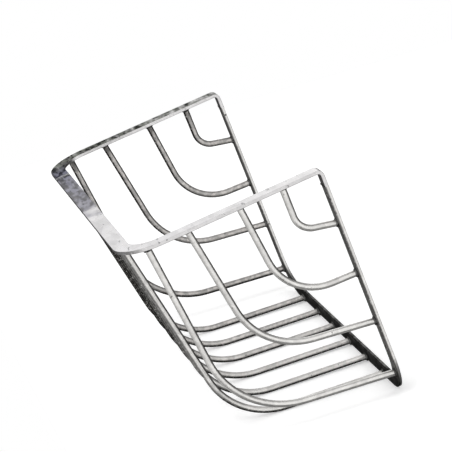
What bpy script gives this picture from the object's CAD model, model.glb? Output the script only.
import math

import bmesh
import bpy
from mathutils import Matrix, Vector, noise


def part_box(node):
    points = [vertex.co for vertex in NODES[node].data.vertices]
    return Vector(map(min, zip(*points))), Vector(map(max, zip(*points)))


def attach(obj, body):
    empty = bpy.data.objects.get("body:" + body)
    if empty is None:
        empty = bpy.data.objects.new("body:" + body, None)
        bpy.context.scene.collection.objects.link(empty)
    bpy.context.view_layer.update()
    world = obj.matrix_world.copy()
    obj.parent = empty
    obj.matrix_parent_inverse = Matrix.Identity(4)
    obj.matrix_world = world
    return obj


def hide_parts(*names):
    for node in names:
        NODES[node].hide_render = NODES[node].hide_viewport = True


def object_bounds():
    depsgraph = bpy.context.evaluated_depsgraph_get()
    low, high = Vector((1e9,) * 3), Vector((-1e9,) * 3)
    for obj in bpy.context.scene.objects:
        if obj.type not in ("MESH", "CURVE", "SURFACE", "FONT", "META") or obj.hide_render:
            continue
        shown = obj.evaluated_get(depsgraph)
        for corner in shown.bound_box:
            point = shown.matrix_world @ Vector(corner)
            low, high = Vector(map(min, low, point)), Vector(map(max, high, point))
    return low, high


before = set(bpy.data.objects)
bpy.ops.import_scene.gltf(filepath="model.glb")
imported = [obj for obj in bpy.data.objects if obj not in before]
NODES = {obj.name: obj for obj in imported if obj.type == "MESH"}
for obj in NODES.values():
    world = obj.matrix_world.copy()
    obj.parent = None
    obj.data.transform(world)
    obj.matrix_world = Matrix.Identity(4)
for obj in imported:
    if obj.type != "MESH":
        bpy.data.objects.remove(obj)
cad_low, cad_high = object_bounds()
WHITE = (1.0, 1.0, 1.0, 1.0)

# The photograph's camera, fitted to the rack and given in the row frame, in metres.
CAMERA_PLACE = Vector((3.13156, -0.52945, 1.03969))
CAMERA_RIGHT = Vector((0.246383, 0.901330, -0.356229))
CAMERA_DOWN = Vector((0.235566, -0.412231, -0.880099))
CAMERA_LENS = 181.48
CAMERA_SHIFT = (-0.0531, 0.0531)
CAMERA_CLIP = (0.05, 200.0)
SENSOR = 36.0

# The floor: its reach to each side, out into the room and behind the wall, and its pale paper.
FLOOR_REACH = (1.6, 0.45, 1.6)
FLOOR_CUTS = 7
PAPER_NOISE = (2.0, 3.0)
PAPER_TONE = (0.3, 0.7, 0.90, 0.94)
PAPER_ROUGHNESS = 0.9
PAPER_GLOW = 0.34

# The studio tent lights the metal. Each lobe has a direction in the row frame, the cosines between
# which it fades in, and a level. The ground and the roof fade in between two heights.
TENT_FRONT = (0.97, -0.22, 0.12)
TENT_FRONT_EDGE = (0.10, 0.45)
TENT_FRONT_FOOT = (-0.75, -0.38)
TENT_FRONT_LEVEL = 1.40
TENT_BACK = (-0.93, 0.12, 0.34)
TENT_BACK_EDGE = (0.88, 0.96)
TENT_BACK_LEVEL = 1.70
TENT_ROOM = (-0.26, -0.87, -0.41)
TENT_ROOM_EDGE = (0.72, 0.94)
TENT_ROOM_LEVEL = 0.95
TENT_GROUND_EDGE = (-0.92, -0.60)
TENT_GROUND_LEVEL = 0.45
TENT_ROOF_EDGE = (-0.1, 0.9)
TENT_ROOF_LEVEL = 0.90
TENT_DIM_LEVEL = 0.04

# The key lights only the floor, because metal shows nothing but what it mirrors.
KEY_WAY = Vector((0.40, -0.25, 0.88))
KEY_ANGLE = math.radians(18)
KEY_STRENGTH = 0.42

# Zinc, everywhere. A noise is (features per metre, detail, roughness), a ripple is (features per
# metre, size, detail), and a fade is (from, to, level before, level after).
WARP_SCALE = 70.0
WARP_DETAIL = 3.0
WARP_SIZE = (0.008, 0.008, 0.008)
SPANGLE_CONTRAST = 0.16
CLOUDS = (16.0, 0.12, 6.0)
FINE_GRAIN = (380.0, 0.07)
MOTTLE_NOISE = (120.0, 4.0)
MOTTLE = (0.42, 0.58, 0.42, 2.1)
SPECK_NOISE = (130.0, 2.0, 0.6)
SPECK_EDGE = 0.05
SPECK_LEVEL = 0.6
SPECK_COLOUR = (0.06, 0.06, 0.065, 1.0)
FLECK_NOISE = (260.0, 4.0, 0.7)
FLECK = (0.54, 0.66, 1.0, 0.35)
BLACK_ZINC = (0.025, 0.024, 0.022, 1.0)
ROUGH_BY_WEAR = (0.0, 1.0, 0.30, 0.50)
ROUGHNESS_RIPPLE = (40.0, 0.07)
BRIGHT_EDGE_TINT = (0.9, 0.9, 0.9, 1.0)
WORN_EDGE_TINT = (0.2, 0.2, 0.21, 1.0)
BUMP_WAVES = (75.0, 0.5)
BUMP_GRIT = (600.0, 0.05)
BUMP_DISTANCE = 0.0005
BUMP_STRENGTH = 0.7

# Bright zinc on the rim, on the frame and bars, on fresh welds and on the ground seam.
RIM_ZINC = (0.66, 0.65, 0.65)
BAR_ZINC = (0.72, 0.71, 0.69)
WELD_ZINC = (0.34, 0.34, 0.33)
GROUND_ZINC = (0.62, 0.62, 0.62)
FRAME_SPANGLE = 100.0
BAR_SPANGLE = 130.0
WELD_SPANGLE = 220.0
RIM_SPECKS = 0.30
OTHER_SPECKS = 0.26
UNSTRETCHED = (1.0, 1.0, 1.0)
RIM_STRETCH = (0.35, 1.0, 1.0)

# The rim's tarnish: fades along X, along the arms (Y), away from the seam and by the way it faces.
RIM_EDGE_WANDER = (28.0, 0.06, 8.0)
RIM_FRONT = (-0.26, -0.08, 1.0, 0.68)
RIM_SEAM_WANDER = (90.0, 0.002)
RIM_SEAM_LIGHT = (0.001, 0.007, 0.35, 1.0)
RIM_LEFT_ARM = (-0.28, -0.22, 1.0, 0.0)
RIM_ALONG_ARM = (-0.24, 0.0, 1.0, 0.66)
RIM_BLOTCHES = (120.0, 0.45, 4.0)
RIM_BLOTCHES_OFF_ARM = 0.22
RIM_UPWARD = (0.2, 0.9, 0.0, 0.97)
RIM_LEFT_PART = (-0.03, 0.09, 1.0, 0.0)
RIM_RIGHT_ARM = (-0.20, -0.02, 0.10, 0.0)
RIM_OUTER_EDGE = (-0.8, -0.3, 0.65, 0.0)
RIM_DULL_FRONT = (0.155, 0.155, 0.190, 1.0)
RIM_DULL_ARM = (0.125, 0.130, 0.115, 1.0)
SEAM_X = (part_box("rim_seam_weld")[0][0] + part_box("rim_seam_weld")[1][0]) / 2

# The wall frame's tarnish: fades by height (Z) and towards the room (Y).
WALL_WANDER = (40.0, 0.01)
WALL_ARRIS = (-0.0044, -0.0030, 1.0, 0.0)
WALL_ROOM_FACE = (-0.9, -0.6, 0.55, 1.0)
WALL_GRIME = (-0.02, 0.14, 1.0, 0.78)
WALL_AGE = (-0.18, -0.13, 0.94, 0.05)
WALL_DULL = (0.05, 0.05, 0.05, 1.0)

# The round bars' tarnish: fades along X, by height and by the way each side of a bar faces.
BAR_LEFT = (-0.3, 0.3, 0.5, 0.0)
BAR_CLOUDS = (55.0, 0.12, 6.0)
BAR_ROOM_SIDE = (-0.62, -0.22, 1.0, 0.0)
BAR_RIGHT_SIDE = (-0.02, 0.16, 0.0, 1.0)
BAR_FLANK_WANDER = (150.0, 0.10)
BAR_FLANK = (-0.05, 0.20, 1.0, 0.70)
BAR_LOW = (-0.13, -0.05, 0.40, 0.0)
BAR_UNDER = (-0.85, -0.12, 1.0, 0.0)
BAR_CLEAN_RIGHT = (0.23, 0.28, 1.0, 0.25)
BAR_NEAR_RIM = (0.125, 0.152, 0.0, 1.6)
BAR_DULL = (0.20, 0.18, 0.17, 1.0)

# The welds' tarnish.
WELD_UNDER = (-0.6, 0.2, 0.9, 0.25)
WELD_PATCHES = (180.0, 0.35)
WELD_AGE = 0.65
WELD_DULL = (0.06, 0.06, 0.06, 1.0)
SEAM_PATCHES = (120.0, 0.25)
SEAM_AGE = 0.35
SEAM_DULL = (0.15, 0.15, 0.17, 1.0)

# The lumps of laid weld metal, in metres.
WELD_VOXEL = 0.0007
WELD_LUMPS_PER_METRE = 420.0
WELD_LUMP = 0.0009
WELD_SINK = 0.0001

# Drops of zinc on the wall frame: places along the strip's top edge and up the left upright.
FLAT_WIDTH = 0.022
STRIP_NIBS = (-0.168, -0.031, 0.018, 0.104, 0.193)
UPRIGHT_NIBS = (0.118, 0.311)
NIB_RADIUS = 0.0013
NIB_LUMP = 0.6
NIB_SUBDIVISIONS = 3


class Nodes:
    """The node tree of a material or world, with short ways to add and join its nodes."""

    def __init__(self, owner):
        owner.use_nodes = True
        self.tree = owner.node_tree
        self.tree.nodes.clear()

    def add(self, kind, inputs=None, **settings):
        node = self.tree.nodes.new("ShaderNode" + kind)
        for key, setting in settings.items():
            setattr(node, key, setting)
        for key, source in (inputs or {}).items():
            self.feed(node.inputs[key], source)
        return node

    def feed(self, socket, source):
        if isinstance(source, bpy.types.NodeSocket):
            self.tree.links.new(source, socket)
        else:
            socket.default_value = source

    def math(self, operation, first, second=0.0, clamp=False):
        node = self.add("Math", {0: first, 1: second}, operation=operation, use_clamp=clamp)
        return node.outputs["Value"]

    def fade(self, value, low, high, start=0.0, end=1.0):
        """A smooth step from start at low to end at high."""
        node = self.add("MapRange", {"Value": value, "From Min": low, "From Max": high,
                                     "To Min": start, "To Max": end}, interpolation_type="SMOOTHSTEP")
        return node.outputs["Result"]

    def noise(self, place, scale, detail=4.0, roughness=0.55):
        node = self.add("TexNoise", {"Vector": place, "Scale": scale, "Detail": detail,
                                     "Roughness": roughness})
        return node.outputs["Fac"]

    def ripple(self, place, scale, size, detail=4.0):
        """Noise from about -size to size."""
        centred = self.math("SUBTRACT", self.noise(place, scale, detail), 0.5)
        return self.math("MULTIPLY", centred, 4 * size)

    def mix(self, factor, first, second, blend="MIX"):
        node = self.add("Mix", data_type="RGBA", blend_type=blend)
        sockets = {socket.identifier: socket for socket in node.inputs}
        self.feed(sockets["Factor_Float"], factor)
        self.feed(sockets["A_Color"], first)
        self.feed(sockets["B_Color"], second)
        return next(socket for socket in node.outputs if socket.identifier == "Result_Color")

    def dot(self, first, second):
        node = self.add("VectorMath", {0: first, 1: second}, operation="DOT_PRODUCT")
        return node.outputs["Value"]

    def stretch(self, place, factors):
        node = self.add("VectorMath", {0: place, 1: factors}, operation="MULTIPLY")
        return node.outputs["Vector"]

    def axis(self, vector, name):
        return self.add("SeparateXYZ", {"Vector": vector}).outputs[name]


def spangled(n, place, grain, spangle):
    """Places warped like the zinc's crystals, and a tone near 1 from crystals, clouds and fine grain."""
    warp = n.add("TexNoise", {"Vector": grain, "Scale": WARP_SCALE, "Detail": WARP_DETAIL})
    warped = n.add("VectorMath", {0: warp.outputs["Color"], 1: WARP_SIZE, 2: grain},
                   operation="MULTIPLY_ADD").outputs["Vector"]
    crystal = n.add("TexVoronoi", {"Vector": warped, "Scale": spangle}).outputs["Color"]
    crystal_tone = n.math("SUBTRACT", n.axis(crystal, "X"), 0.5)
    shade = n.math("ADD", n.math("MULTIPLY", crystal_tone, SPANGLE_CONTRAST), n.ripple(place, *CLOUDS))
    shade = n.math("ADD", n.math("ADD", shade, n.ripple(place, *FINE_GRAIN)), 1.0)
    return warped, shade


def zinc(name, bright, tarnish, spangle, speck_share=OTHER_SPECKS, stretch=UNSTRETCHED):
    """Hot-dip zinc. The tarnish function says where it is dull, in what colour, and where it is black."""
    material = bpy.data.materials.new(name)
    n = Nodes(material)
    coordinates = n.add("TexCoord")
    place = coordinates.outputs["Object"]
    grain = n.stretch(place, stretch)
    warped, shade = spangled(n, place, grain, spangle)
    age, dull, grime = tarnish(n, place, coordinates.outputs["Normal"])
    lit = n.mix(1.0, (*bright, 1.0), shade, "MULTIPLY")
    mottle = n.fade(n.noise(warped, *MOTTLE_NOISE), *MOTTLE)
    dark = n.mix(1.0, dull, n.math("MULTIPLY", mottle, shade), "MULTIPLY")
    colour = n.mix(age, lit, dark)
    speck = n.fade(n.noise(grain, *SPECK_NOISE), speck_share, speck_share + SPECK_EDGE, SPECK_LEVEL, 0.0)
    colour = n.mix(speck, colour, SPECK_COLOUR)
    fleck = n.fade(n.noise(place, *FLECK_NOISE), *FLECK)
    black = n.math("MULTIPLY", grime, fleck, clamp=True)
    colour = n.mix(black, colour, BLACK_ZINC)
    wear = n.math("MAXIMUM", age, black)
    rough = n.math("ADD", n.fade(wear, *ROUGH_BY_WEAR), n.ripple(place, *ROUGHNESS_RIPPLE), clamp=True)
    edge_tint = n.mix(wear, BRIGHT_EDGE_TINT, WORN_EDGE_TINT)
    lumps = n.math("ADD", n.ripple(place, *BUMP_WAVES), n.ripple(place, *BUMP_GRIT))
    bump = n.add("Bump", {"Height": lumps, "Distance": BUMP_DISTANCE, "Strength": BUMP_STRENGTH})
    shader = n.add("BsdfPrincipled", {"Base Color": colour, "Roughness": rough,
                                      "Metallic": 1.0, "Specular Tint": edge_tint,
                                      "Normal": bump.outputs["Normal"]})
    n.add("OutputMaterial", {"Surface": shader.outputs["BSDF"]})
    return material


def rim_tarnish(n, place, normal):
    """Dark and blotched on the left arm, blue-grey on most of the front run, but light at the seam."""
    across = n.axis(place, "X")
    along = n.math("ADD", across, n.ripple(place, *RIM_EDGE_WANDER))
    from_seam = n.math("SUBTRACT", n.math("ADD", across, n.ripple(place, *RIM_SEAM_WANDER)), SEAM_X)
    from_seam = n.math("ABSOLUTE", from_seam)
    front = n.math("MULTIPLY", n.fade(along, *RIM_FRONT), n.fade(from_seam, *RIM_SEAM_LIGHT))
    on_arm = n.fade(across, *RIM_LEFT_ARM)
    arm = n.fade(n.axis(place, "Y"), *RIM_ALONG_ARM)
    blotch_share = n.math("ADD", on_arm, RIM_BLOTCHES_OFF_ARM)
    blotch = n.math("MULTIPLY", n.ripple(n.stretch(place, RIM_STRETCH), *RIM_BLOTCHES), blotch_share)
    patchy = n.math("ADD", n.math("MULTIPLY", front, arm), blotch, clamp=True)
    left_part = n.math("MULTIPLY", patchy, n.fade(along, *RIM_LEFT_PART))
    right_part = n.fade(n.axis(place, "Y"), *RIM_RIGHT_ARM)
    upward = n.fade(n.axis(normal, "Z"), *RIM_UPWARD)
    age = n.math("MULTIPLY", n.math("MAXIMUM", left_part, right_part), upward)
    dull = n.mix(on_arm, RIM_DULL_FRONT, RIM_DULL_ARM)
    return age, dull, n.fade(n.axis(normal, "Y"), *RIM_OUTER_EDGE)


def wall_tarnish(n, place, normal):
    """The strip near the floor is duller than the uprights, and the edges towards the room are black."""
    height = n.math("ADD", n.axis(place, "Z"), n.ripple(place, *WALL_WANDER))
    arris = n.math("MULTIPLY", n.fade(n.axis(place, "Y"), *WALL_ARRIS),
                   n.fade(n.axis(normal, "Y"), *WALL_ROOM_FACE))
    grime = n.math("MULTIPLY", arris, n.fade(height, *WALL_GRIME))
    return n.fade(height, *WALL_AGE), WALL_DULL, grime


def bar_tarnish(n, place, normal):
    """Dull on the left, and black underneath, near the rim and on one flank of all but the right bars."""
    across = n.axis(place, "X")
    left = n.fade(across, *BAR_LEFT)
    age = n.math("ADD", left, n.ripple(place, *BAR_CLOUDS), clamp=True)
    flank = n.math("MULTIPLY", n.fade(n.axis(normal, "Y"), *BAR_ROOM_SIDE),
                   n.fade(n.axis(normal, "X"), *BAR_RIGHT_SIDE))
    wandering = n.math("ADD", across, n.ripple(place, *BAR_FLANK_WANDER))
    flank = n.math("MULTIPLY", flank, n.fade(wandering, *BAR_FLANK))
    low = n.fade(n.axis(place, "Z"), *BAR_LOW)
    under = n.fade(n.math("SUBTRACT", n.axis(normal, "Z"), low), *BAR_UNDER)
    dirty = n.math("MULTIPLY", n.math("MAXIMUM", flank, under), n.fade(across, *BAR_CLEAN_RIGHT))
    near_rim = n.math("MULTIPLY", n.fade(n.axis(place, "Z"), *BAR_NEAR_RIM), left)
    return age, BAR_DULL, n.math("MAXIMUM", dirty, near_rim)


def weld_tarnish(n, place, normal):
    """Weld metal is dull all over, patchy, and black underneath."""
    age = n.math("ADD", n.ripple(place, *WELD_PATCHES), WELD_AGE, clamp=True)
    return age, WELD_DULL, n.fade(n.axis(normal, "Z"), *WELD_UNDER)


def seam_tarnish(n, place, normal):
    """The rim's closing seam was ground off, and is bright but for a few blotches."""
    age = n.math("ADD", n.ripple(place, *SEAM_PATCHES), SEAM_AGE, clamp=True)
    return age, SEAM_DULL, 0.0


def dress(names, material):
    for name in names:
        NODES[name].data.materials.clear()
        NODES[name].data.materials.append(material)


def dress_rack():
    dress(["top_rim"], zinc("zinc_rim", RIM_ZINC, rim_tarnish, FRAME_SPANGLE, RIM_SPECKS, RIM_STRETCH))
    dress(["wall_frame"], zinc("zinc_wall_frame", BAR_ZINC, wall_tarnish, FRAME_SPANGLE))
    bars = [name for name in NODES if "_rod_" in name]
    dress(bars, zinc("zinc_round_bar", BAR_ZINC, bar_tarnish, BAR_SPANGLE))


def link_new(name, data):
    thing = bpy.data.objects.new(name, data)
    bpy.context.scene.collection.objects.link(thing)
    return thing


def lumpy_copy(node):
    """A finer copy of a weld's shape, with the ripples and lumps of laid weld metal."""
    source = link_new(node + "_source", NODES[node].data.copy())
    remesh = source.modifiers.new("remesh", "REMESH")
    remesh.mode = "VOXEL"
    remesh.voxel_size = WELD_VOXEL
    shape = source.evaluated_get(bpy.context.evaluated_depsgraph_get())
    mesh = bpy.data.meshes.new_from_object(shape)
    bpy.data.objects.remove(source)
    for vertex, normal in zip(mesh.vertices, [vertex.normal.copy() for vertex in mesh.vertices]):
        lump = noise.noise(vertex.co * WELD_LUMPS_PER_METRE)
        moved = vertex.co + normal * (WELD_LUMP * lump - WELD_SINK)
        vertex.co = [min(max(at, low), high) for at, low, high in zip(moved, cad_low, cad_high)]
    for face in mesh.polygons:
        face.use_smooth = True
    return mesh


def make_welds(laid):
    """Every weld node gets a lumpy copy, of laid weld metal or, on the rim, of ground metal."""
    ground = zinc("zinc_ground_seam", GROUND_ZINC, seam_tarnish, WELD_SPANGLE)
    for node in [name for name in NODES if name.endswith(("_welds", "_weld"))]:
        mesh = lumpy_copy(node)
        mesh.materials.clear()
        mesh.materials.append(ground if node == "rim_seam_weld" else laid)
        bead = link_new(node + "_beads", mesh)
        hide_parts(node)
        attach(bead, "root")


def make_nibs(material):
    """Small drops of zinc on the inner edges of the wall frame."""
    frame_low, frame_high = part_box("wall_frame")
    middle = (frame_low[1] + frame_high[1]) / 2
    spots = [Vector((x, middle, frame_low[2] + FLAT_WIDTH)) for x in STRIP_NIBS]
    spots += [Vector((frame_low[0] + FLAT_WIDTH, middle, frame_low[2] + height)) for height in UPRIGHT_NIBS]
    shape = bmesh.new()
    for spot in spots:
        drop = bmesh.ops.create_icosphere(shape, subdivisions=NIB_SUBDIVISIONS, radius=NIB_RADIUS)
        for vertex in drop["verts"]:
            lump = noise.noise((spot + vertex.co) * WELD_LUMPS_PER_METRE)
            vertex.co = spot + vertex.co * (1.0 + NIB_LUMP * lump)
    for face in shape.faces:
        face.smooth = True
    mesh = bpy.data.meshes.new("zinc_nibs")
    shape.to_mesh(mesh)
    shape.free()
    mesh.materials.append(material)
    nibs = link_new("zinc_nibs", mesh)
    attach(nibs, "root")


def resting_line():
    """The front edge of the strip's foot, and the slope from it to the bends of the front bars."""
    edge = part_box("wall_frame")[0][1]
    clear_of_wall = cad_low.y / 4
    places = [vertex.co for vertex in NODES["front_rod_1"].data.vertices]
    under = [place for place in places if place.y < clear_of_wall]
    return edge, min(math.atan2(place.z - cad_low.z, edge - place.y) for place in under)


def floor_paper():
    """Matt white paper with a little light of its own, so that it stays white under the soft key."""
    paper = bpy.data.materials.new("floor_paper")
    n = Nodes(paper)
    place = n.add("TexCoord").outputs["Object"]
    tone = n.fade(n.noise(place, *PAPER_NOISE), *PAPER_TONE)
    shader = n.add("BsdfPrincipled", {"Base Color": tone, "Roughness": PAPER_ROUGHNESS,
                                      "Emission Color": tone, "Emission Strength": PAPER_GLOW})
    n.add("OutputMaterial", {"Surface": shader.outputs["BSDF"]})
    return paper


def make_floor():
    """The rack stands on its foot and the bends of its front bars, so in its frame the floor slopes."""
    edge, slope = resting_line()
    width, front, back = FLOOR_REACH
    corners = [(-width, -front), (width, -front), (width, back), (-width, back)]
    shape = bmesh.new()
    shape.faces.new([shape.verts.new((x, y, 0.0)) for x, y in corners])
    bmesh.ops.subdivide_edges(shape, edges=shape.edges[:], cuts=FLOOR_CUTS, use_grid_fill=True)
    bmesh.ops.rotate(shape, verts=shape.verts, matrix=Matrix.Rotation(-slope, 3, "X"))
    bmesh.ops.translate(shape, verts=shape.verts, vec=(0, edge, cad_low.z))
    mesh = bpy.data.meshes.new("floor")
    shape.to_mesh(mesh)
    shape.free()
    mesh.materials.append(floor_paper())
    floor = link_new("floor", mesh)
    floor.visible_glossy = False
    floor.visible_diffuse = False
    floor.visible_shadow = False


def hang_tent():
    """A studio tent round the rack, with a white backdrop that only the camera sees."""
    world = bpy.data.worlds.new("studio")
    n = Nodes(world)
    way = n.add("TexCoord").outputs["Generated"]
    height = n.axis(way, "Z")
    front = n.math("MULTIPLY", n.fade(n.dot(way, TENT_FRONT), *TENT_FRONT_EDGE),
                   n.fade(height, *TENT_FRONT_FOOT, 0.0, TENT_FRONT_LEVEL))
    back = n.fade(n.dot(way, TENT_BACK), *TENT_BACK_EDGE, 0.0, TENT_BACK_LEVEL)
    room = n.fade(n.dot(way, TENT_ROOM), *TENT_ROOM_EDGE, 0.0, TENT_ROOM_LEVEL)
    roof = n.fade(height, *TENT_ROOF_EDGE, TENT_DIM_LEVEL, TENT_ROOF_LEVEL)
    level = n.fade(height, *TENT_GROUND_EDGE, TENT_GROUND_LEVEL, 0.0)
    for lobe in (front, back, room, roof):
        level = n.math("MAXIMUM", level, lobe)
    tent = n.add("Background", {"Strength": level})
    backdrop = n.add("Background", {"Color": WHITE, "Strength": 1.0})
    seen = n.add("LightPath").outputs["Is Camera Ray"]
    choice = n.add("MixShader", {"Fac": seen, 1: tent.outputs["Background"],
                                 2: backdrop.outputs["Background"]})
    n.add("OutputWorld", {"Surface": choice.outputs["Shader"]})
    bpy.context.scene.world = world


def hang_key():
    """One soft key light from above."""
    data = bpy.data.lights.new("key", "SUN")
    data.angle = KEY_ANGLE
    data.energy = KEY_STRENGTH
    key = link_new("key", data)
    key.rotation_mode = "QUATERNION"
    key.rotation_quaternion = KEY_WAY.to_track_quat("Z", "Y")
    key.visible_glossy = False


def make_camera():
    data = bpy.data.cameras.new("camera")
    data.sensor_width = SENSOR
    data.lens = CAMERA_LENS
    data.shift_x, data.shift_y = CAMERA_SHIFT
    data.clip_start, data.clip_end = CAMERA_CLIP
    camera = link_new("camera", data)
    right = CAMERA_RIGHT.normalized()
    up = -CAMERA_DOWN.normalized()
    back = right.cross(up)
    turn = Matrix((right, up, back)).transposed().to_4x4()
    camera.matrix_world = Matrix.Translation(CAMERA_PLACE) @ turn
    bpy.context.scene.camera = camera


dress_rack()
weld_zinc = zinc("zinc_weld", WELD_ZINC, weld_tarnish, WELD_SPANGLE)
make_welds(weld_zinc)
make_nibs(weld_zinc)
make_floor()
hang_tent()
hang_key()
make_camera()
bpy.context.scene.view_settings.view_transform = "Standard"
